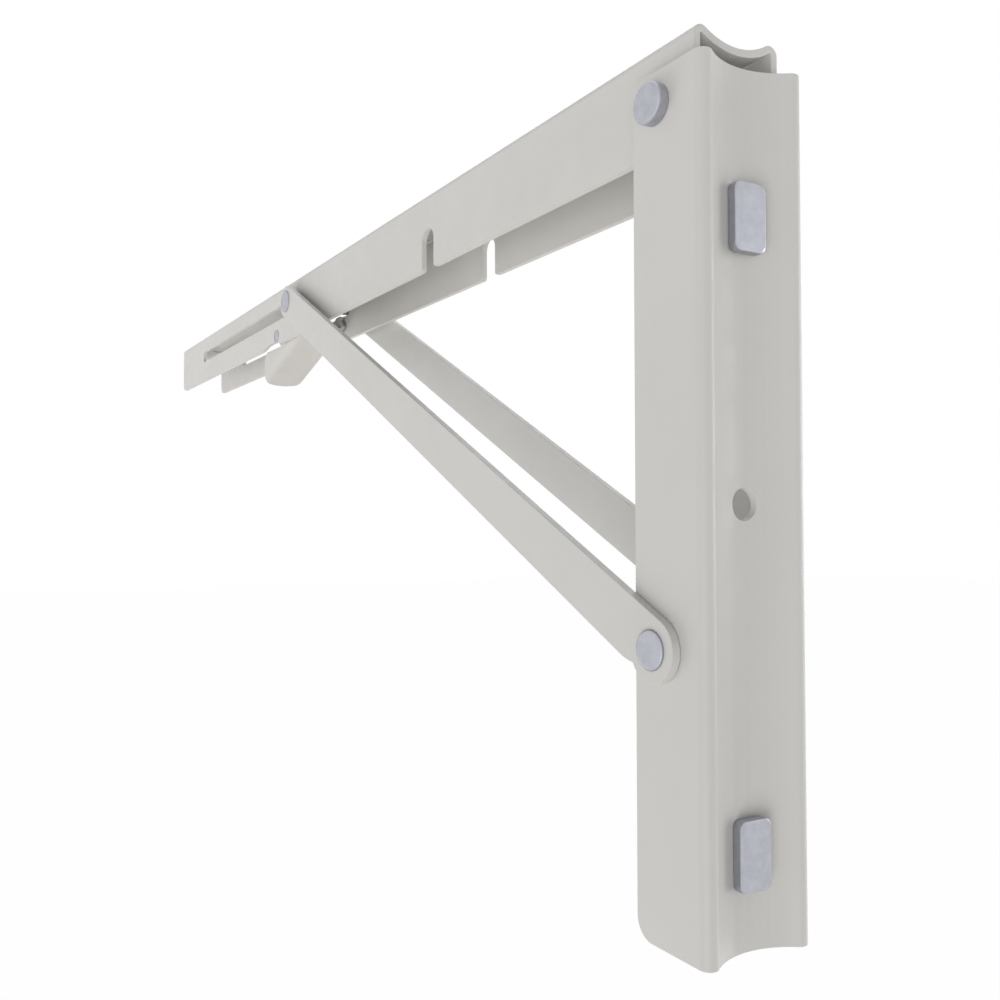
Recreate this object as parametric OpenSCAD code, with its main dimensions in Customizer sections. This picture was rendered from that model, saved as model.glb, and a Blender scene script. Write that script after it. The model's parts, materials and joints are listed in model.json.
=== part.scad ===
// Folding shelf bracket. A dished wall rail carries a dished arm on its upper
// pivot and two brace straps on its lower one. The straps' upper pin runs in
// a slot along the arm and locks behind a sprung release lever, so the arm
// stands square to the wall or folds down into the rail.
//
// Everything is drawn from the wall plane (x = 0), the middle of the width
// (y = 0) and the rail's lower end (z = 0), and then moved so that the wall
// screw hole in the rail's back is the origin. +X runs out along the open
// arm, +Z is up, and left is the +Y side. All sizes are in millimetres.

/* [Wall rail] */
// Height of the rail
rail_h = 191; // [180:1:240]
// Width over the rail's flanges
rail_w = 30; // [28:0.5:40]
// Depth from the wall to the front edges of the flanges
rail_d = 22.8; // [21:0.1:28]
// Sheet thickness of the rail
rail_t = 2; // [1.6:0.1:2.4]
// Depth of the groove pressed down the rail's back
rail_dish = 4.1; // [3:0.1:5]
// Inside radius of the rail's bends
rail_bend = 0.3; // [0.2:0.1:0.8]
// Radius of the flanges' lower front corners
rail_foot_r = 5; // [1:0.5:8]
// Radius of the flanges' upper front corners
rail_top_r = 2; // [1:0.5:5]
// Diameter of the wall screw hole
screw_d = 7; // [5:0.5:8]

/* [Back pads] */
// Width of a pad
pad_w = 9; // [7:0.5:12]
// Height of a pad
pad_h = 15.2; // [12:0.2:20]
// Corner radius of a pad
pad_corner_r = 1.8; // [0.5:0.1:3]
// How far short of the wall the pads stop
pad_stand = 1.2; // [0.5:0.1:2]
// Distance from each end of the rail's back to the middle of its pad
pad_inset = 21.1; // [12:0.1:30]
// Extra distance of the upper pad, which clears the upper pivot
pad_upper_drop = 12.6; // [8:0.2:25]
// Width of the neck that holds a pad in the rail
pad_neck_w = 4; // [3:0.5:6]
// Height of the neck that holds a pad in the rail
pad_neck_h = 8; // [6:0.5:10]
// Thickness of the neck's flattened end
pad_tail_t = 1.2; // [0.8:0.1:2]

/* [Pivots] */
// Distance of both rail pivots from the wall
pivot_x = 14.6; // [13.5:0.1:16]
// Distance of the upper pivot below the rail's top
pivot_drop = 7.7; // [6:0.1:12]
// Distance between the upper and the lower pivot
pivot_pitch = 119.2; // [100:0.2:130]
// Shank diameter of the pivot rivets
rivet_d = 5; // [4:0.5:6]
// Head diameter of all the rivets
rivet_head_d = 9.6; // [8:0.2:12]
// Height of the upper rivet's heads
upper_head_h = 3; // [1:0.1:4]
// Height of the lower rivet's heads
lower_head_h = 0.7; // [0.4:0.1:1.5]
// Outer diameter of the upper pivot's sleeve
upper_sleeve_d = 8; // [7:0.2:9]
// Outer diameter of the lower pivot's sleeve
lower_sleeve_d = 7; // [6.6:0.1:7.4]
// Outer diameter of the washers between rail and arm
washer_d = 10; // [8:0.2:12]

/* [Arm] */
// Reach of the arm from the wall
arm_reach = 466; // [450:1:520]
// Depth of the arm from its ridges to its flange edges
arm_d = 24.7; // [23:0.1:26]
// Height of the arm's ridges above its pivot
arm_rise = 15.4; // [14:0.1:16]
// Sheet thickness of the arm
arm_t = 1.8; // [1.5:0.1:2]
// Depth of the groove pressed along the arm's top
arm_dish = 2.8; // [2:0.1:3.5]
// Inside radius of the arm's bends
arm_bend = 0.4; // [0.2:0.1:0.8]
// Radius of the flanges' lower front corners
arm_toe_r = 4; // [1:0.5:8]
// Width of the notches that swallow the lower pivot's sleeve
notch_w = 8.2; // [8:0.1:9]
// Radius at the mouth of each notch
notch_mouth_r = 1.2; // [0.5:0.1:2]
// Distance of the first shelf screw hole from the wall
shelf_first = 60; // [40:1:90]
// Distance from one shelf screw hole to the next
shelf_pitch = 125; // [90:1:130]
// Number of shelf screw holes
shelf_holes = 4; // [2:1:4]
// Diameter of the shelf screw holes
shelf_hole_d = 5.2; // [4:0.2:6.5]

/* [Brace] */
// Width of a brace strap
strap_w = 13.3; // [11.5:0.1:16]
// Thickness of a brace strap
strap_t = 2.2; // [1.6:0.1:3]
// Distance of the locked brace pin from the arm's pivot
lock_reach = 245.6; // [230:0.2:260]
// Height of the slot's centre line above the arm's pivot
slot_rise = 4.3; // [4:0.1:4.6]
// Width of the slot
slot_w = 5.8; // [5.4:0.1:6.2]
// How far the slot runs on in front of the folded pin
slot_spare = 7.7; // [3:0.1:15]
// Height of the brace pin's heads above the straps
pin_head_h = 0.5; // [0.3:0.1:1.2]

/* [Release lever] */
// Sheet thickness of the lever
lever_t = 1.5; // [1.2:0.1:1.8]
// Inside radius of the lever's bends
lever_bend = 1.8; // [1:0.1:2.5]
// Slope of the lever's floor when the bracket is open
lever_slope = 16.5; // [14:0.5:18]
// Distance of the lever's pin in front of the locked brace pin
lever_ahead = 27.8; // [27:0.1:30]
// Distance of the lever's pin below the slot's centre line
lever_drop = 9.7; // [9.5:0.1:10]
// Diameter of the lever's pin
lever_pin_d = 5.4; // [4.4:0.1:5.6]
// Distance of the lever's floor below its pin
lever_floor = 9; // [8.5:0.1:10]
// How far the lever's cheeks run in front of its pin
lever_front = 26; // [24:0.1:28]
// How far the lever's tab bulges in front of its cheeks
tab_bulge = 4; // [2:0.5:5]
// Radius of the cheeks' upper front corners
tab_corner_r = 5.2; // [3:0.1:6]
// How far the lever runs behind its pin
lever_rear = 28.5; // [28:0.1:30]
// Radius of the lever's cheeks round its pin
lever_boss_r = 4.5; // [4.3:0.1:5.5]
// Length of the shallow relief in the arm's edges over the lever
relief_len = 25.5; // [18:0.5:27]
// Depth of the shallow relief
relief_deep = 1.6; // [1:0.1:1.8]
// Wire diameter of the lever's spring
wire_d = 1.2; // [0.8:0.1:1.3]
// Pitch of the spring's turns
coil_pitch = 1.6; // [1.5:0.1:1.7]

/* [Fits] */
// Gap between the arm and the rail's flanges, each side
arm_gap = 0.8; // [0.6:0.05:1.2]
// Gap between the arm's rear end and the inside of the rail's back
rear_gap = 1.7; // [1:0.1:2]
// Gap between the straps and the rail's flanges
strap_gap = 0.1; // [0.1:0.05:0.4]
// Gap between the lever's cheeks and the arm's flanges
lever_gap = 0.8; // [0.5:0.05:1]
// Radial gap of a pivot that turns
pivot_gap = 0.08; // [0.05:0.01:0.1]
// Radial gap of a pin that is clinched in place
press_gap = 0.03; // [0.02:0.01:0.05]
// Gap between stacked pieces on one pin
stack_gap = 0.06; // [0.04:0.01:0.1]
// Radial gap between the brace pin and its slot
slot_gap = 0.1; // [0.05:0.01:0.15]
// Radial gap between the spring's coil and the lever's pin
coil_gap = 0.5; // [0.3:0.05:0.6]

/* [Hidden] */
$fn = 96;

// Colours of the paint, the plated rivets and the plain steel
PAINT = [0.80, 0.79, 0.77];
PLATED = [0.70, 0.71, 0.74];
STEEL = [0.60, 0.60, 0.62];

// How far a cut runs past the surface that it opens
past = 1;
// Steps in degrees round the bends and grooves of the sheet
bend_step = 8;
groove_step = 2.5;
// Distance under which two points count as one
tiny = 0.0001;
// The rail's bends and the circle of the groove in its back
rail_bend_r = rail_bend + rail_t;
rail_groove_r = groove_r(rail_w, rail_dish, rail_bend_r);
// Heights of the wall screw hole, the pivots and the pads
screw_z = rail_h / 2;
upper_z = rail_h - pivot_drop;
lower_z = upper_z - pivot_pitch;
pad_lower_z = pad_inset;
pad_upper_z = rail_h - pad_inset - pad_upper_drop;

// The arm between the rail's flanges
arm_w = rail_w - 2 * rail_t - 2 * arm_gap;
arm_in = arm_w / 2 - arm_t;
arm_rear_x = back_x(arm_in, rail_t) + rear_gap;
arm_top_z = upper_z + arm_rise;
arm_low_z = arm_top_z - arm_d;
arm_heel_r = min(pivot_x - arm_rear_x, upper_z - arm_low_z);
notch_x = pivot_x + pivot_pitch;

// The brace: its length, its slope when open and the pin's place when folded
slot_z = upper_z + slot_rise;
lock_x = pivot_x + lock_reach;
brace_len = norm([lock_reach, pivot_pitch + slot_rise]);
brace_slope = atan2(pivot_pitch + slot_rise, lock_reach);
folded_reach = pivot_pitch + sqrt(pow(brace_len, 2) - pow(slot_rise, 2));
// Play of the locked pin towards the wall
lock_play = 0.4;
slot_back_x = lock_x - lock_play;
slot_front_x = pivot_x + folded_reach + slot_spare;
pin_d = slot_w - 2 * slot_gap;
strap_in = rail_w / 2 + strap_gap;
strap_out = strap_in + strap_t;
// Gap between the ends of the slot pin and the stubs on the straps
pin_end_gap = 0.2;
pin_half = strap_in - pin_end_gap;

// The release lever between the arm's flanges
lever_x = lock_x + lever_ahead;
lever_z = slot_z - lever_drop;
lever_w = 2 * (arm_in - lever_gap);
lever_bend_r = lever_bend + lever_t;
// Room under the brace pin as it passes over the lever's nose
nose_room = 0.45;
nose_top = lever_drop - pin_d / 2 - nose_room;
// Least height of the boss above or below the edges that run into it
boss_step = 0.3;
// Height of the cheeks between the nose and the boss
cheek_top = min(nose_top - 2.4, lever_boss_r - boss_step);
// Height of the cheeks in front of the boss, level with the arm's edges
shoulder = max(arm_low_z - lever_z, boss_step - lever_boss_r);
// Heights behind the nose, which stay under the pin when the nose is up
nose_foot = nose_top - 1.55;
tail_top = nose_top - 4.85;
// Play between the brace pin and the back of the nose, and the nose's thickness
nose_play = 0.3;
nose_len = 4;
nose_back = -lever_ahead + pin_d / 2 - nose_play;
nose_ramp = 6;
// The tab's tip and how far the cheeks' front edges drop towards it
tip_x = lever_front + tab_bulge;
tip_drop = 3;
// How far the two outlines of the lever run on where they cross at its front
front_lap = 0.17;

// The spring on the lever's pin: its coil and the ends of its two legs
coil_r = lever_pin_d / 2 + coil_gap + wire_d / 2;
coil_half = 3.5;
leg_end = [24, 3.2];
leg_bend_r = 2;
leg_hole_gap = 0.2;
leg_reach = 17;
leg_floor_gap = 0.05;
coil_cut = 9;
lever_turn = 400;
wire_sides = 8;
coil_step = 15;

// Radius of the groove between two bends of radius rc in a channel of width w
function groove_r(w, dish, rc) =
    (pow(w / 2 - rc, 2) + dish * dish - 2 * rc * dish) / (2 * dish);

// Distance from the wall of the rail's back at width y, plus a sheet of t
function back_x(y, t = 0) =
    rail_dish - rail_groove_r + sqrt(pow(rail_groove_r + t, 2) - y * y);

// Points along an arc from angle a0 to a1, at most step degrees apart
function arc(c, r, a0, a1, step) =
    let (n = ceil(abs(a1 - a0) / step))
    [for (i = [0 : n]) let (a = a0 + (a1 - a0) * i / n) c + r * [cos(a), sin(a)]];

// A list of points from its end to its start
function reversed(p) = [for (i = [len(p) - 1 : -1 : 0]) p[i]];

// The mirror image of a half outline, walked back to its flange, without the
// point on the middle line that both halves share
function mirrored(p) = [
    for (q = reversed(p))
        if (abs(q[0]) > tiny) [-q[0], q[1]]
];

// Direction of a vector
function unit(v) = v / norm(v);

// Direction of a path at its point i
function heading(p, i) =
    i == 0 ? unit(p[1] - p[0])
    : i == len(p) - 1 ? unit(p[i] - p[i - 1])
    : unit(unit(p[i + 1] - p[i]) + unit(p[i] - p[i - 1]));

// The part of n that is square to t
function square_to(t, n) = unit(n - (n * t) * t);

// A side direction at each point of a path, carried along without twist
function sides_of(p, first) = [
    for (
        i = 0, n = square_to(heading(p, 0), first);
        i < len(p);
        i = i + 1, n = square_to(heading(p, min(i, len(p) - 1)), n)
    ) n
];

// Point of the spring's coil at angle a, counted from its first tangent point
function coil_at(a) = [
    coil_r * cos(a),
    -coil_half + coil_pitch * (a - coil_first) / 360,
    coil_r * sin(a)
];

// Angles at which the legs leave the coil
coil_first = atan2(leg_end[1], leg_end[0]) + acos(coil_r / norm(leg_end));
foot_v = -lever_floor + lever_t + wire_d / 2 + leg_floor_gap;
foot = [
    leg_reach * cos(lever_slope) + foot_v * sin(lever_slope),
    -leg_reach * sin(lever_slope) + foot_v * cos(lever_slope)
];
coil_last = atan2(foot[1], foot[0]) - acos(coil_r / norm(foot)) + 5 * 360;
coil_split = coil_last - lever_turn;

// Moves a piece from the wall's corner to the screw hole's frame
module placed() {
    translate([-rail_dish, 0, -screw_z])
        children();
}

// Extrudes a side view, drawn in x and z, across the width
module across(len) {
    rotate([90, 0, 0])
        linear_extrude(len, center = true)
            children();
}

// A round bar across the width
module cross_bar(d, len) {
    rotate([90, 0, 0])
        cylinder(d = d, h = len, center = true);
}

// The waste outside a rounded corner whose sheet lies to the lower left
module corner(r) {
    translate([-r, -r])
        difference() {
            square(r + past);
            circle(r);
        }
}

// A rectangle with rounded corners, centred
module rounded_rect(w, h, r) {
    square([w - 2 * r, h], center = true);
    square([w, h - 2 * r], center = true);
    for (sx = [-1, 1], sy = [-1, 1])
        translate([sx * (w / 2 - r), sy * (h / 2 - r)])
            circle(r);
}

// A slot with round ends from x0 to x1
module long_hole(x0, x1, w) {
    translate([x0, 0])
        circle(d = w);
    translate([x1, 0])
        circle(d = w);
    translate([x0, -w / 2])
        square([x1 - x0, w]);
}

// Half outline of a grooved channel's section, open towards +y, from its flange
// edge round the ridge to the bottom of the groove. The inside of the sheet is
// the same outline with an inset of the sheet's thickness
function grooved_half(w, d, dish, rc, inset) =
    let (
        gr = groove_r(w, dish, rc),
        lean = atan2(w / 2 - rc, rc - dish + gr)
    )
    concat(
        [[w / 2 - inset, d]],
        arc([w / 2 - rc, rc], rc - inset, 0, -90 - lean, bend_step),
        [
            for (q = arc([0, dish - gr], gr + inset, 90 - lean, 90, groove_step))
                if (abs(q[0] - (w / 2 - rc) * (gr + inset) / (gr + rc)) > tiny) q
        ]
    );

// The same for a plain channel with a flat floor
function plain_half(w, d, rc, inset) =
    concat(
        [[w / 2 - inset, d]],
        arc([w / 2 - rc, rc], rc - inset, 0, -90, bend_step)
    );

// A half outline with its mirror image, and the inside of the sheet behind it
module sheet_section(outer, inner) {
    polygon(concat(outer, mirrored(outer), reversed(concat(inner, mirrored(inner)))));
}

// Section of a sheet channel with a groove along its back
module channel(w, d, t, dish, bend) {
    sheet_section(
        grooved_half(w, d, dish, bend + t, 0),
        grooved_half(w, d, dish, bend + t, t)
    );
}

// Section of a sheet channel with a flat floor
module plain_channel(w, d, t, bend) {
    sheet_section(
        plain_half(w, d, bend + t, 0),
        plain_half(w, d, bend + t, t)
    );
}

// Head of a rivet, standing on z = 0, with a small bevel round its edge
module head(d, h) {
    bevel = min(0.4, h / 2);
    rotate_extrude()
        polygon([[0, 0], [d / 2, 0], [d / 2, h - bevel], [d / 2 - bevel, h], [0, h]]);
}

// Turns a head so that it points out of the left (1) or right (-1) side
module outward(side) {
    rotate([-90 * side, 0, 0])
        children();
}

// A rivet across the width with a head at each end
module cross_rivet(d, half, head_h) {
    cross_bar(d, 2 * half);
    for (side = [-1, 1])
        translate([0, side * half, 0])
            outward(side)
                head(rivet_head_d, head_h);
}

// A tube across the width
module cross_tube(outer, inner, len) {
    difference() {
        cross_bar(outer, len);
        cross_bar(inner, len + 2 * past);
    }
}

// A wire of diameter d along a path
module wire(path, d, first) {
    n = len(path);
    side = sides_of(path, first);
    rings = [
        for (i = [0 : n - 1], k = [0 : wire_sides - 1])
            let (
                a = 360 * k / wire_sides,
                up = cross(heading(path, i), side[i])
            )
            path[i] + d / 2 * (cos(a) * side[i] + sin(a) * up)
    ];
    walls = [
        for (i = [0 : n - 2], k = [0 : wire_sides - 1])
            let (
                a = i * wire_sides + k,
                b = i * wire_sides + (k + 1) % wire_sides
            )
            each [[a, a + wire_sides, b + wire_sides], [a, b + wire_sides, b]]
    ];
    ends = [
        [for (k = [0 : wire_sides - 1]) k],
        [for (k = [wire_sides - 1 : -1 : 0]) (n - 1) * wire_sides + k]
    ];
    polyhedron(rings, concat(walls, ends));
}

module wall_rail() {
    color(PAINT)
        placed()
            difference() {
                rotate([0, 0, -90])
                    linear_extrude(rail_h)
                        channel(rail_w, rail_d, rail_t, rail_dish, rail_bend);
                across(rail_w + 2 * past) {
                    translate([rail_d, 0])
                        rotate(-90)
                            corner(rail_foot_r);
                    translate([rail_d, rail_h])
                        corner(rail_top_r);
                    for (z = [lower_z, upper_z])
                        translate([pivot_x, z])
                            circle(d = rivet_d + 2 * press_gap);
                }
                translate([-past, 0, screw_z])
                    rotate([0, 90, 0])
                        cylinder(d = screw_d, h = rail_dish + rail_t + 2 * past);
                for (z = [pad_lower_z, pad_upper_z])
                    translate([0, -pad_neck_w / 2 - press_gap, z - pad_neck_h / 2 - press_gap])
                        cube([
                            rail_dish + rail_t + past,
                            pad_neck_w + 2 * press_gap,
                            pad_neck_h + 2 * press_gap
                        ]);
            }
}

// A steel pad on the rail's back: a flat head, a neck through the groove and
// a flattened end inside
module back_pad(z) {
    seat_x = back_x(pad_w / 2) - press_gap;
    tail_x = rail_dish + rail_t + press_gap;
    tail_lip = 1;
    color(PLATED)
        placed()
            translate([0, 0, z]) {
                translate([pad_stand, 0, 0])
                    rotate([90, 0, 90])
                        linear_extrude(seat_x - pad_stand)
                            rounded_rect(pad_w, pad_h, pad_corner_r);
                translate([pad_stand, -pad_neck_w / 2, -pad_neck_h / 2])
                    cube([tail_x - pad_stand, pad_neck_w, pad_neck_h]);
                translate([tail_x, 0, 0])
                    rotate([90, 0, 90])
                        linear_extrude(pad_tail_t)
                            rounded_rect(
                                pad_neck_w + 2 * tail_lip,
                                pad_neck_h + 2 * tail_lip,
                                tail_lip
                            );
            }
}

module pad_upper() {
    back_pad(pad_upper_z);
}

module pad_lower() {
    back_pad(pad_lower_z);
}

module upper_rivet() {
    color(PLATED)
        placed()
            translate([pivot_x, 0, upper_z])
                cross_rivet(rivet_d, rail_w / 2, upper_head_h);
}

module upper_sleeve() {
    color(STEEL)
        placed()
            translate([pivot_x, 0, upper_z])
                cross_tube(upper_sleeve_d, rivet_d + 2 * press_gap, 2 * (arm_in - stack_gap));
}

// A washer between the arm and the rail's flange
module upper_washer(side) {
    color(STEEL)
        placed()
            translate([pivot_x, side * (arm_w + arm_gap) / 2, upper_z])
                cross_tube(washer_d, rivet_d + 2 * press_gap, arm_gap - 2 * stack_gap);
}

module upper_washer_left() {
    upper_washer(1);
}

module upper_washer_right() {
    upper_washer(-1);
}

module lower_rivet() {
    color(PLATED)
        placed()
            translate([pivot_x, 0, lower_z])
                cross_rivet(rivet_d, strap_out + stack_gap, lower_head_h);
}

module lower_sleeve() {
    color(STEEL)
        placed()
            translate([pivot_x, 0, lower_z])
                cross_tube(
                    lower_sleeve_d,
                    rivet_d + 2 * press_gap,
                    rail_w - 2 * rail_t - 2 * stack_gap
                );
}

// Side view of everything that is cut through both flanges of the arm
module arm_cuts() {
    translate([arm_rear_x, arm_low_z])
        rotate(180)
            corner(arm_heel_r);
    translate([arm_reach, arm_low_z])
        rotate(-90)
            corner(arm_toe_r);
    translate([pivot_x, upper_z])
        circle(d = rivet_d + 2 * pivot_gap);
    translate([0, slot_z])
        long_hole(slot_back_x, slot_front_x, slot_w);
    translate([lever_x, lever_z])
        circle(d = lever_pin_d + 2 * press_gap);
    sleeve_notch();
    lever_relief();
}

// The notch that swallows the lower pivot's sleeve when the arm is folded
module sleeve_notch() {
    translate([notch_x, upper_z])
        circle(d = notch_w);
    translate([notch_x - notch_w / 2, arm_low_z - past])
        square([notch_w, upper_z - arm_low_z + past]);
    translate([notch_x - notch_w / 2, arm_low_z])
        rotate(-90)
            corner(notch_mouth_r);
    translate([notch_x + notch_w / 2, arm_low_z])
        rotate(180)
            corner(notch_mouth_r);
}

// The shallow arc in the flange edges over the lever
module lever_relief() {
    arc_r = (pow(relief_len / 2, 2) + pow(relief_deep, 2)) / (2 * relief_deep);
    translate([lever_x + relief_shift, arm_low_z + relief_deep - arc_r])
        circle(arc_r, $fn = 360);
}

// How far the relief's middle lies in front of the lever's pin
relief_shift = 8.5;

module arm() {
    color(PAINT)
        placed()
            difference() {
                translate([arm_rear_x, 0, arm_top_z])
                    rotate([90, 0, 90])
                        linear_extrude(arm_reach - arm_rear_x)
                            rotate(180)
                                channel(arm_w, arm_d, arm_t, arm_dish, arm_bend);
                across(arm_w + 2 * past)
                    arm_cuts();
                for (i = [0 : shelf_holes - 1])
                    translate([shelf_first + i * shelf_pitch, 0, arm_top_z - arm_dish - arm_t - past])
                        cylinder(d = shelf_hole_d, h = arm_dish + arm_t + 2 * past);
                translate([lever_x + leg_end[0], -arm_w / 2 + arm_t / 2, lever_z + leg_end[1]])
                    cross_bar(wire_d + 2 * leg_hole_gap, arm_t + past);
            }
}

module lever_pin() {
    // The pin's ends stand a little proud of the arm
    pin_proud = 0.3;
    color(PLATED)
        placed()
            translate([lever_x, 0, lever_z]) {
                cross_bar(lever_pin_d, arm_w);
                for (side = [-1, 1])
                    translate([0, side * arm_w / 2, 0])
                        outward(side)
                            head(lever_pin_d, pin_proud);
            }
}

// The spring's turns and the leg that is hooked into the arm's right flange
module spring_arm_end() {
    top = coil_at(coil_first);
    run = unit([top[0] - leg_end[0], 0, top[2] - leg_end[1]]);
    elbow = [leg_end[0], -coil_half, leg_end[1]];
    leg = concat(
        [[leg_end[0], -arm_w / 2 + press_gap, leg_end[1]]],
        [
            for (a = [0 : 15 : 90])
                elbow + leg_bend_r * (run - [0, 1, 0])
                + leg_bend_r * (sin(a) * [0, 1, 0] - cos(a) * run)
        ]
    );
    coil = [for (a = [coil_first : coil_step : coil_split - coil_cut]) coil_at(a)];
    color(STEEL)
        placed()
            translate([lever_x, 0, lever_z])
                wire(concat(leg, coil), wire_d, [1, 0, 0]);
}

module slot_pin() {
    color(PLATED)
        placed()
            translate([lock_x, 0, slot_z])
                cross_bar(pin_d, 2 * pin_half);
}

// A spacer on the slot pin between the arm and a strap
module pin_spacer(side) {
    inner = arm_w / 2 + stack_gap;
    color(STEEL)
        placed()
            translate([lock_x, side * (inner + pin_half) / 2, slot_z])
                cross_tube(rivet_head_d, pin_d + 2 * press_gap, pin_half - inner);
}

module pin_spacer_left() {
    pin_spacer(1);
}

module pin_spacer_right() {
    pin_spacer(-1);
}

// A brace strap on the left (1) or right (-1) side
module strap(side) {
    color(PAINT)
        placed()
            translate([pivot_x, side * (strap_in + strap_out) / 2, lower_z])
                across(strap_t)
                    rotate(brace_slope)
                        difference() {
                            long_hole(0, brace_len, strap_w);
                            circle(d = rivet_d + 2 * pivot_gap);
                            translate([brace_len, 0])
                                circle(d = pin_d + 2 * press_gap);
                        }
}

module strap_left() {
    strap(1);
}

module strap_right() {
    strap(-1);
}

// A head of the brace pin with the stub that fills the strap's hole
module pin_head(side) {
    stub_gap = 0.05;
    color(PLATED)
        placed()
            translate([lock_x, side * (strap_in + stub_gap), slot_z])
                outward(side) {
                    cylinder(d = pin_d, h = strap_t - stub_gap + stack_gap);
                    translate([0, 0, strap_t - stub_gap + stack_gap])
                        head(rivet_head_d, pin_head_h);
                }
}

module pin_head_left() {
    pin_head(1);
}

module pin_head_right() {
    pin_head(-1);
}

// Height of the lever's floor below its pin at x, measured upright
function floor_at(x) = -lever_floor / cos(lever_slope) - x * tan(lever_slope);

// Side view of the lever round its pin: the tab in front, the boss round the
// pin, and the nose that catches the brace pin behind
module lever_side() {
    nose_front = nose_back + nose_len;
    corner_at = [lever_front + front_lap - tab_corner_r, shoulder - tab_corner_r];
    boss_first = 180 - asin(cheek_top / lever_boss_r);
    boss_last = asin(shoulder / lever_boss_r);
    polygon(concat(
        [
            [-lever_rear, floor_at(-lever_rear) - past],
            [-lever_rear, tail_top],
            [nose_back, nose_foot],
            [nose_back, nose_top],
            [nose_front, nose_top],
            [nose_front + nose_ramp, cheek_top]
        ],
        arc([0, 0], lever_boss_r, boss_first, boss_last, boss_turn),
        arc(corner_at, tab_corner_r, 90, 0, bend_step),
        [
            [tip_x + past, corner_at[1] - tip_drop],
            [tip_x + past, floor_at(tip_x + past) - past]
        ]
    ));
}

// Steps in degrees round the boss and the tab
boss_turn = 4;

// Top view of the lever, whose tab ends in a wide arc
module lever_plan() {
    half = lever_w / 2;
    tab_r = (half * half + tab_bulge * tab_bulge) / (2 * tab_bulge);
    tab_turn = asin((half + front_lap) / tab_r);
    polygon(concat(
        [[-lever_rear - past, -half - past], [lever_front - front_lap, -half - past]],
        arc([tip_x - tab_r, 0], tab_r, -tab_turn, tab_turn, boss_turn),
        [[lever_front - front_lap, half + past], [-lever_rear - past, half + past]]
    ));
}

module release_lever() {
    // Length of sheet that the outlines are cut from, measured along the floor
    blank = 2 * (tip_x + lever_rear);
    tall = 3 * lever_floor;
    color(PAINT)
        placed()
            translate([lever_x, 0, lever_z])
                difference() {
                    intersection() {
                        rotate([0, lever_slope, 0])
                            translate([-blank / 2, 0, -lever_floor])
                                rotate([90, 0, 90])
                                    linear_extrude(blank)
                                        plain_channel(lever_w, tall, lever_t, lever_bend);
                        across(lever_w + 2 * past)
                            lever_side();
                        linear_extrude(2 * tall, center = true)
                            lever_plan();
                    }
                    cross_bar(lever_pin_d + 2 * pivot_gap, lever_w + 2 * past);
                }
}

// The spring's last turn and the leg that presses on the lever's floor
module spring_lever_end() {
    coil = [for (a = [coil_split : coil_step : coil_last]) coil_at(a)];
    leg = [[foot[0], coil_at(coil_last)[1], foot[1]]];
    color(STEEL)
        placed()
            translate([lever_x, 0, lever_z])
                wire(concat(coil, leg), wire_d, [0, 1, 0]);
}

wall_rail();
pad_upper();
pad_lower();
upper_rivet();
upper_sleeve();
upper_washer_left();
upper_washer_right();
lower_rivet();
lower_sleeve();
arm();
lever_pin();
spring_arm_end();
slot_pin();
pin_spacer_left();
pin_spacer_right();
strap_left();
strap_right();
pin_head_left();
pin_head_right();
release_lever();
spring_lever_end();
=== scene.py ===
import json
import math

import bmesh
import bpy
from mathutils import Matrix, Vector


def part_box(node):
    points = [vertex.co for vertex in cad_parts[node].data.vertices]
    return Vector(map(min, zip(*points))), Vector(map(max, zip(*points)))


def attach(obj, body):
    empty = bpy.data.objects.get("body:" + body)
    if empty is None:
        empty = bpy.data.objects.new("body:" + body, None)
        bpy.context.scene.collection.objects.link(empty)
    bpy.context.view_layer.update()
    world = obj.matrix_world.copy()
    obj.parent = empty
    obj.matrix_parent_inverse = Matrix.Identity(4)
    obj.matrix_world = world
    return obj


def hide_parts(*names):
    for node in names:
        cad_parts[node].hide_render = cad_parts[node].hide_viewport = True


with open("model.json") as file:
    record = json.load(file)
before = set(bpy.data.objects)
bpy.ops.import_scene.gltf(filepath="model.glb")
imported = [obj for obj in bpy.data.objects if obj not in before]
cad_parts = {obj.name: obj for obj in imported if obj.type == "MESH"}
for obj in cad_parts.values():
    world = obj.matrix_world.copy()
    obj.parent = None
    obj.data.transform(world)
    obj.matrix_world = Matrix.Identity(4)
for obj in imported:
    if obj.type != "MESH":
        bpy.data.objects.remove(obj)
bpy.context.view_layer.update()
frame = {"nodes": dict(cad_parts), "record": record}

MM = 0.001
MICRON = 0.000001

# ---- rounding and shading, in metres or degrees
SHEET_EDGE = 0.22 * MM      # round of a painted sheet edge
HEAD_EDGE = 0.30 * MM       # round of a rivet head's rim
PAD_EDGE = 0.35 * MM        # round of a pad's rim
TURNED_EDGE = 0.12 * MM     # round of a small turned piece's rim
NO_EDGE = 0.0               # a wire has nothing to round
EDGE_STEPS = 2              # faces across a rounded edge
SHARP_ANGLE = 24            # edges sharper than this get rounded
SMOOTH_ANGLE = 38           # edges sharper than this stay hard in the shading
FLAT_ANGLE = 0.25           # facets closer than this to one plane become one face
SAME_POINT = 0.5 * MICRON   # points closer than this are one point
MOST_CORNERS = 4            # a face with more corners is cut into even triangles
NORMAL_WEIGHT = 100         # large faces set the shading at their edges

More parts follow.
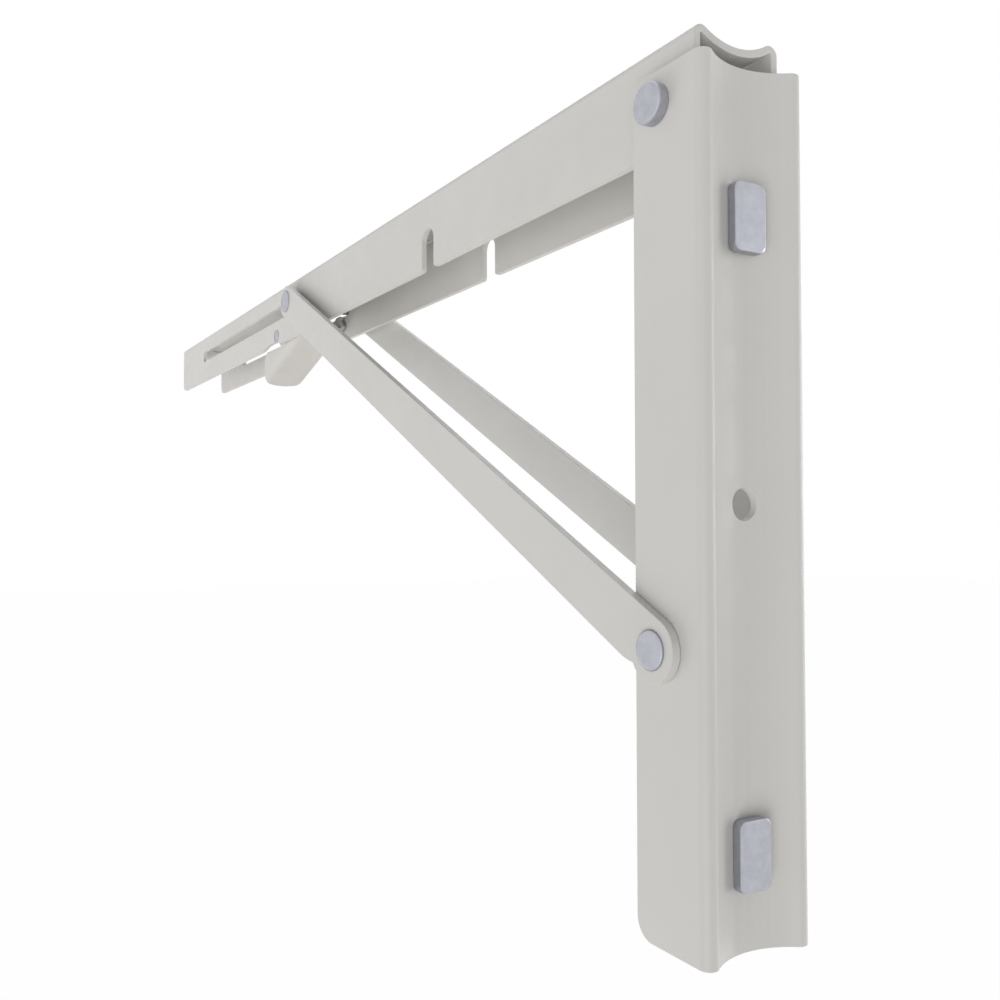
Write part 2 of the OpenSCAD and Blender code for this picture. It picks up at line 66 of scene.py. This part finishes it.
# ---- brace straps
STRAP_HALF = 6.65 * MM      # half the width of a strap
STRAP_LOBE = 7.25 * MM      # round of its lower end, a little wider than the strap
STRAP_NECK = 5.85 * MM      # its lower edge runs in to this, just before that round
STRAP_RIM = 0.9 * STRAP_HALF    # points further out than this lie on its outline
NECK_RUN = 9.0 * MM         # where the lower edge starts to run in, from the lower pivot
NECK_CUTS = 6               # steps along the neck
LOBE_CUTS = 5               # steps from the neck to the lower pivot
SIDE_TILT = 0.2             # faces that turn up or down more than this are a strap's sides
SLICE = 6.0 * MM            # a strap's long faces are cut across this often
SLICE_GAP = 0.05 * MM       # keeps these cuts off the end of the neck

# ---- rivets and the brace pin
HEAD_CORE = 3.2 * MM        # a rivet is a shank inside this radius and a head outside it
HEAD_SHARES = {             # how large each head is, against its solid
    "upper_rivet": 0.955,
    "lower_rivet": 0.925,
    "pin_head_left": 0.96,
    "pin_head_right": 0.96,
}

# ---- colours, linear
PAINT = (0.642, 0.637, 0.621)
PAINT_SHADE = (0.616, 0.611, 0.595)
ZINC = (0.480, 0.490, 0.540)
ZINC_SHADE = (0.420, 0.430, 0.478)
STEEL = (0.50, 0.50, 0.51)
STEEL_SHADE = (0.38, 0.38, 0.39)
WHITE = (1.0, 1.0, 1.0)

# ---- roughness, from the smoothest to the roughest spots
PAINT_ROUGHNESS = (0.36, 0.48)
ZINC_ROUGHNESS = (0.34, 0.52)
STEEL_ROUGHNESS = (0.22, 0.38)

# ---- marks on the surfaces, and lines of painted shade
TONE_SHARE = 0.45           # share of the broad random tones beside the painted shade lines
NOISE_LOW = 0.35            # the part of a noise's values that is used
NOISE_HIGH = 0.65
PEEL_HEIGHT = 35 * MICRON   # the coat's orange peel
GRAIN_HEIGHT = 8 * MICRON   # the coat's fine grain
SCUFF_HEIGHT = 10 * MICRON
LINE_HEIGHT = 6 * MICRON    # lines of turning or drawing
# painted shade: streaks across the rail's web that stand in for the shading of its curved facets
PAINTED_SHADE_LINES = (0.0, 620.0, 1.5)             # marks per metre along X, Y and Z
SCUFF_LINES = (900.0, 900.0, 4200.0)
TURNED_LINES = (1200.0, 5200.0, 1200.0)
DRAWN_LINES = (700.0, 3000.0, 3000.0)

# ---- floor, world and lamps
FLOOR_LEVEL = -0.34
FLOOR_HALF = 6.0
FLOOR_COLOUR = (0.78, 0.735, 0.67)
FLOOR_SHARE = 0.985         # part of the floor that shows as plain white
WORLD_LEVEL = 0.44
LAMP_SPREAD = 50            # degrees across
LAMPS = {                   # the side each shines from, and its level
    "near_light": ((-0.57, 0.67, -0.48), 0.51),
    "front_light": ((0.70, 0.55, -0.55), 0.41),
    "far_light": ((-0.20, -0.95, -0.10), 0.50),
    "top_light": ((0.35, -0.45, 0.85), 0.15),
}

# ---- camera, solved from the photograph's perspective
CAMERA_PLACE = (-0.1640, 0.1565, -0.00548)
CAMERA_YAW = 30.233         # degrees from +X towards -Y
CAMERA_PITCH = 1.696        # degrees up
CAMERA_ROLL = -0.092
CAMERA_LENS = 36.787
SENSOR_WIDTH = 36.0
NEAR_CLIP = 0.01


# ---- nodes
def node_tree(owner):
    owner.use_nodes = True
    tree = owner.node_tree
    tree.nodes.clear()
    return tree


def add(tree, kind, **values):
    node = tree.nodes.new(kind)
    for name, value in values.items():
        node.inputs[name.replace("_", " ")].default_value = value
    return node


def maths(tree, operation, first, second):
    """A maths node's result. The second value is a socket or a number."""
    node = tree.nodes.new("ShaderNodeMath")
    node.operation = operation
    tree.links.new(first, node.inputs[0])
    if isinstance(second, float):
        node.inputs[1].default_value = second
    else:
        tree.links.new(second, node.inputs[1])
    return node.outputs[0]


def noise(tree, where, scale=1.0, detail=2.0, roughness=0.5):
    node = add(tree, "ShaderNodeTexNoise", Scale=scale, Detail=detail, Roughness=roughness)
    tree.links.new(where, node.inputs["Vector"])
    return node.outputs["Fac"]


def stretched(tree, where, scale):
    node = add(tree, "ShaderNodeMapping", Scale=scale)
    tree.links.new(where, node.inputs["Vector"])
    return node.outputs["Vector"]


def ranged(tree, value, low=0.0, high=1.0):
    """Spreads a noise's values from low to high."""
    limits = {"From_Min": NOISE_LOW, "From_Max": NOISE_HIGH, "To_Min": low, "To_Max": high}
    node = add(tree, "ShaderNodeMapRange", **limits)
    tree.links.new(value, node.inputs["Value"])
    return node.outputs["Result"]


def mixed(tree, factor, first, second):
    node = tree.nodes.new("ShaderNodeMix")
    node.data_type = "RGBA"
    tree.links.new(factor, node.inputs["Factor"])
    for end, colour in (("A", first), ("B", second)):
        socket = next(s for s in node.inputs if s.type == "RGBA" and s.name == end)
        socket.default_value = (*colour, 1)
    return next(s for s in node.outputs if s.type == "RGBA")


def bumped(tree, height, distance, normal=None):
    node = add(tree, "ShaderNodeBump", Strength=1.0, Distance=distance)
    tree.links.new(height, node.inputs["Height"])
    if normal is not None:
        tree.links.new(normal, node.inputs["Normal"])
    return node.outputs["Normal"]


def seen(tree):
    """1 for what is looked at, straight or in a mirror or glass, and 0 for what only lights."""
    path = tree.nodes.new("ShaderNodeLightPath").outputs
    looked_at = maths(tree, "MAXIMUM", path["Is Camera Ray"], path["Is Glossy Ray"])
    return maths(tree, "MAXIMUM", looked_at, path["Is Transmission Ray"])


def blended(tree, factor, first, second, output):
    """Mixes two shaders and ends the tree with them."""
    mix = tree.nodes.new("ShaderNodeMixShader")
    tree.links.new(factor, mix.inputs["Fac"])
    tree.links.new(first, mix.inputs[1])
    tree.links.new(second, mix.inputs[2])
    tree.links.new(mix.outputs["Shader"], tree.nodes.new(output).inputs["Surface"])


# ---- materials
def surface(name, **values):
    """A new material, with its tree, the place on the piece and the shader."""
    material = bpy.data.materials.new(name)
    tree = node_tree(material)
    place = tree.nodes.new("ShaderNodeTexCoord").outputs["Object"]
    shader = add(tree, "ShaderNodeBsdfPrincipled", **values)
    output = tree.nodes.new("ShaderNodeOutputMaterial")
    tree.links.new(shader.outputs["BSDF"], output.inputs["Surface"])
    return material, tree, place, shader


def powder_paint(name, colour, shade, lines=None):
    """Satin powder coat: broad, faint tone changes and a fine orange peel.

    Where lines are given, painted shade lines run along them, standing in for the shading of a
    curved sheet's facets.
    """
    material, tree, place, shader = surface(name, Metallic=0.0, IOR=1.48)
    tone = ranged(tree, noise(tree, place, scale=28.0, detail=4.0, roughness=0.6))
    if lines is not None:
        # painted shade: darker streaks mixed into the colour, in place of the facets' shading
        along = stretched(tree, place, lines)
        marks = ranged(tree, noise(tree, along, detail=4.0, roughness=0.7))
        tone = maths(
            tree, "ADD",
            maths(tree, "MULTIPLY", tone, TONE_SHARE),
            maths(tree, "MULTIPLY", marks, 1 - TONE_SHARE),
        )
    tree.links.new(mixed(tree, tone, colour, shade), shader.inputs["Base Color"])
    sheen = noise(tree, place, scale=160.0, detail=3.0, roughness=0.55)
    tree.links.new(ranged(tree, sheen, *PAINT_ROUGHNESS), shader.inputs["Roughness"])
    peel = bumped(tree, noise(tree, place, scale=420.0, detail=1.0), PEEL_HEIGHT)
    grain = bumped(tree, noise(tree, place, scale=1900.0), GRAIN_HEIGHT, peel)
    tree.links.new(grain, shader.inputs["Normal"])
    return material


def dull_zinc(name, colour, shade):
    """Zinc plate on a turned or pressed piece: a cool grey with faint spangle and scuffs."""
    material, tree, place, shader = surface(name, Metallic=0.9, IOR=1.5)
    spangle = ranged(tree, noise(tree, place, scale=420.0, detail=4.0, roughness=0.65))
    tree.links.new(mixed(tree, spangle, colour, shade), shader.inputs["Base Color"])
    scuffs = noise(tree, stretched(tree, place, SCUFF_LINES), detail=3.0, roughness=0.6)
    tree.links.new(ranged(tree, scuffs, *ZINC_ROUGHNESS), shader.inputs["Roughness"])
    tree.links.new(bumped(tree, scuffs, SCUFF_HEIGHT), shader.inputs["Normal"])
    return material


def bright_steel(name, colour, shade, lines):
    """Drawn or turned steel with its marks along the given lines."""
    material, tree, place, shader = surface(name, Metallic=1.0, IOR=1.5)
    tone = ranged(tree, noise(tree, place, scale=260.0, detail=3.0))
    tree.links.new(mixed(tree, tone, colour, shade), shader.inputs["Base Color"])
    marks = noise(tree, stretched(tree, place, lines), detail=3.0, roughness=0.6)
    tree.links.new(ranged(tree, marks, *STEEL_ROUGHNESS), shader.inputs["Roughness"])
    tree.links.new(bumped(tree, marks, LINE_HEIGHT), shader.inputs["Normal"])
    return material


def white_to_the_camera(name, colour, share):
    """A pale diffuse surface that shows nearly white itself but keeps a soft shadow."""
    material = bpy.data.materials.new(name)
    tree = node_tree(material)
    plain = add(tree, "ShaderNodeBsdfDiffuse", Color=(*colour, 1))
    glow = add(tree, "ShaderNodeEmission", Color=(*WHITE, 1), Strength=1.0)
    blended(
        tree, maths(tree, "MULTIPLY", seen(tree), share),
        plain.outputs["BSDF"], glow.outputs["Emission"], "ShaderNodeOutputMaterial",
    )
    return material


# ---- pieces
def body_of(node):
    for body, members in frame["record"]["behaviour"]["bodies"].items():
        if node in members:
            return body


def middle_of(node):
    low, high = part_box(node)
    return (Vector(low) + Vector(high)) / 2


def angle_over(edge, degrees):
    """Whether the two faces of an edge meet at more than this angle."""
    return len(edge.link_faces) == 2 and edge.calc_face_angle(0.0) > math.radians(degrees)


def headed(node, share):
    """Makes the heads of a rivet or pin smaller, round its own middle."""
    middle = middle_of(node)

    def reshape(shape):
        for v in shape.verts:
            out = Vector((v.co.x - middle.x, 0.0, v.co.z - middle.z))
            if out.length > HEAD_CORE:
                v.co += out * (share - 1)

    return reshape


def strap_reach(along, on_top, length, kink):
    """How far a strap's upper or lower edge lies from its middle line.

    Along counts from the lower pivot and is below zero up the strap. At -kink the neck ends in
    the round.
    """
    if on_top:
        return STRAP_HALF + (STRAP_LOBE - STRAP_HALF) * (1 + along / length)
    if along > -kink:
        return math.sqrt(STRAP_LOBE ** 2 - along ** 2)
    if along > -NECK_RUN:
        part = (NECK_RUN + along) / (NECK_RUN - kink)
        return STRAP_HALF - (STRAP_HALF - STRAP_NECK) * part * part
    return STRAP_HALF


def lobed(shape):
    """Gives a brace strap the wider round of its lower end, and the neck in its lower edge."""
    pivot, pin = middle_of("lower_rivet"), middle_of("slot_pin")
    foot = Vector((pivot.x, 0.0, pivot.z))
    down = Vector((pivot.x - pin.x, 0.0, pivot.z - pin.z))
    length = down.length
    down.normalize()
    up = Vector((down.z, 0.0, -down.x))
    kink = math.sqrt(STRAP_LOBE ** 2 - STRAP_NECK ** 2)

    run = length - 2 * NECK_RUN
    slices = int(run / SLICE)
    for k in range(slices + 1):
        cut = NECK_RUN + SLICE_GAP + run * k / slices
        parts = shape.verts[:] + shape.edges[:] + shape.faces[:]
        bmesh.ops.bisect_plane(shape, geom=parts, plane_co=foot - down * cut, plane_no=down)

    shares = [k / NECK_CUTS for k in range(NECK_CUTS + 1)]
    cuts = [NECK_RUN * share + kink * (1 - share) for share in shares]
    cuts += [kink * k / LOBE_CUTS for k in range(LOBE_CUTS)]
    for cut in cuts:
        sides = [f for f in shape.faces if abs(f.normal.dot(up)) > SIDE_TILT]
        edges = list(dict.fromkeys(e for f in sides for e in f.edges))
        verts = list(dict.fromkeys(v for f in sides for v in f.verts))
        parts = verts + edges + sides
        bmesh.ops.bisect_plane(shape, geom=parts, plane_co=foot - down * cut, plane_no=down)

    for v in shape.verts:
        out = Vector((v.co.x - pivot.x, 0.0, v.co.z - pivot.z))
        along, above = out.dot(down), out.dot(up)
        if along >= -SAME_POINT:
            if out.length > STRAP_RIM:
                v.co += out.normalized() * (STRAP_LOBE - STRAP_HALF)
        elif abs(above) > STRAP_RIM:
            outward = strap_reach(along, above > 0, length, kink) - STRAP_HALF
            v.co += up * outward * (1 if above > 0 else -1)


def dressed(node, material, edge, reshape=None):
    """A copy of the node's solid with rounded edges and even shading, which stands for it."""
    mesh = frame["nodes"][node].data.copy()
    mesh.materials.clear()
    mesh.materials.append(material)
    shape = bmesh.new()
    shape.from_mesh(mesh)
    bmesh.ops.remove_doubles(shape, verts=shape.verts, dist=SAME_POINT)
    bmesh.ops.dissolve_limit(
        shape,
        angle_limit=math.radians(FLAT_ANGLE),
        use_dissolve_boundaries=False,
        verts=shape.verts,
        edges=shape.edges,
    )
    if edge > NO_EDGE:
        bmesh.ops.bevel(
            shape,
            geom=[e for e in shape.edges if angle_over(e, SHARP_ANGLE)],
            offset=edge,
            offset_type="OFFSET",
            segments=EDGE_STEPS,
            profile=0.5,
            affect="EDGES",
            clamp_overlap=False,
        )
    if reshape is not None:
        reshape(shape)
    # without this, long faces with holes show thin lines in their shading
    bmesh.ops.triangulate(
        shape,
        faces=[f for f in shape.faces if len(f.verts) > MOST_CORNERS],
        quad_method="BEAUTY",
        ngon_method="BEAUTY",
    )
    for face in shape.faces:
        face.smooth = True
        face.material_index = 0
    for e in shape.edges:
        e.smooth = not angle_over(e, SMOOTH_ANGLE)
    shape.to_mesh(mesh)
    shape.free()
    piece = bpy.data.objects.new(node + "_dressed", mesh)
    bpy.context.scene.collection.objects.link(piece)
    even = piece.modifiers.new("even", "WEIGHTED_NORMAL")
    even.keep_sharp = True
    even.weight = NORMAL_WEIGHT
    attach(piece, body_of(node))
    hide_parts(node)


paint = powder_paint("satin_paint", PAINT, PAINT_SHADE)
# the rail's paint carries painted shade streaks across its web
rail_paint_with_painted_shade = powder_paint("satin_paint_with_painted_shade", PAINT, PAINT_SHADE, PAINTED_SHADE_LINES)
zinc = dull_zinc("dull_zinc", ZINC, ZINC_SHADE)
turned = bright_steel("turned_steel", STEEL, STEEL_SHADE, TURNED_LINES)
drawn = bright_steel("drawn_wire", STEEL, STEEL_SHADE, DRAWN_LINES)

dressed("wall_rail", rail_paint_with_painted_shade, SHEET_EDGE)
for node in ("arm", "release_lever"):
    dressed(node, paint, SHEET_EDGE)
for node in ("strap_left", "strap_right"):
    dressed(node, paint, SHEET_EDGE, lobed)
for node, share in HEAD_SHARES.items():
    dressed(node, zinc, HEAD_EDGE, headed(node, share))
dressed("lever_pin", zinc, HEAD_EDGE)
for node in ("pad_upper", "pad_lower"):
    dressed(node, zinc, PAD_EDGE)
for node in (
    "slot_pin", "upper_sleeve", "lower_sleeve", "upper_washer_left", "upper_washer_right",
    "pin_spacer_left", "pin_spacer_right",
):
    dressed(node, turned, TURNED_EDGE)
for node in ("spring_arm_end", "spring_lever_end"):
    dressed(node, drawn, NO_EDGE)


# ---- floor, world and lamps
def floor_plane(level, half, material):
    mesh = bpy.data.meshes.new("floor")
    corners = [(x * half, y * half, level) for x, y in ((-1, -1), (1, -1), (1, 1), (-1, 1))]
    mesh.from_pydata(corners, [], [(0, 1, 2, 3)])
    mesh.materials.append(material)
    floor = bpy.data.objects.new("floor", mesh)
    bpy.context.scene.collection.objects.link(floor)
    floor.visible_shadow = False


def white_world(level):
    """A world that shows plain white but lights the pieces at the given level."""
    world = bpy.data.worlds.new("studio")
    bpy.context.scene.world = world
    tree = node_tree(world)
    lit = add(tree, "ShaderNodeBackground", Color=(*WHITE, 1), Strength=level)
    shown = add(tree, "ShaderNodeBackground", Color=(*WHITE, 1), Strength=1.0)
    blended(
        tree, seen(tree),
        lit.outputs["Background"], shown.outputs["Background"], "ShaderNodeOutputWorld",
    )


def broad_light(name, side, level):
    """A distant, very soft light from the given side. Level 1 lights a facing white fully."""
    lamp = bpy.data.lights.new(name, "SUN")
    lamp.energy = math.pi * level
    lamp.angle = math.radians(LAMP_SPREAD)
    light = bpy.data.objects.new(name, lamp)
    bpy.context.scene.collection.objects.link(light)
    light.rotation_euler = Vector(side).to_track_quat("Z", "Y").to_euler()


floor_plane(FLOOR_LEVEL, FLOOR_HALF, white_to_the_camera("pale_floor", FLOOR_COLOUR, FLOOR_SHARE))
white_world(WORLD_LEVEL)
for name, (side, level) in LAMPS.items():
    broad_light(name, side, level)


# ---- camera
def aimed_camera():
    yaw = math.radians(CAMERA_YAW)
    pitch = math.radians(CAMERA_PITCH)
    ahead = Vector((
        math.cos(yaw) * math.cos(pitch),
        -math.sin(yaw) * math.cos(pitch),
        math.sin(pitch),
    ))
    right = Vector((-math.sin(yaw), -math.cos(yaw), 0.0))
    above = right.cross(ahead)
    turn = Matrix((right, above, -ahead)).transposed()
    lens = bpy.data.cameras.new("camera")
    lens.sensor_fit = "HORIZONTAL"
    lens.sensor_width = SENSOR_WIDTH
    lens.lens = CAMERA_LENS
    lens.clip_start = NEAR_CLIP
    camera = bpy.data.objects.new("camera", lens)
    bpy.context.scene.collection.objects.link(camera)
    camera.matrix_world = (
        Matrix.Translation(CAMERA_PLACE)
        @ turn.to_4x4()
        @ Matrix.Rotation(math.radians(CAMERA_ROLL), 4, "Z")
    )
    bpy.context.scene.camera = camera


aimed_camera()
bpy.context.scene.view_settings.view_transform = "Standard"
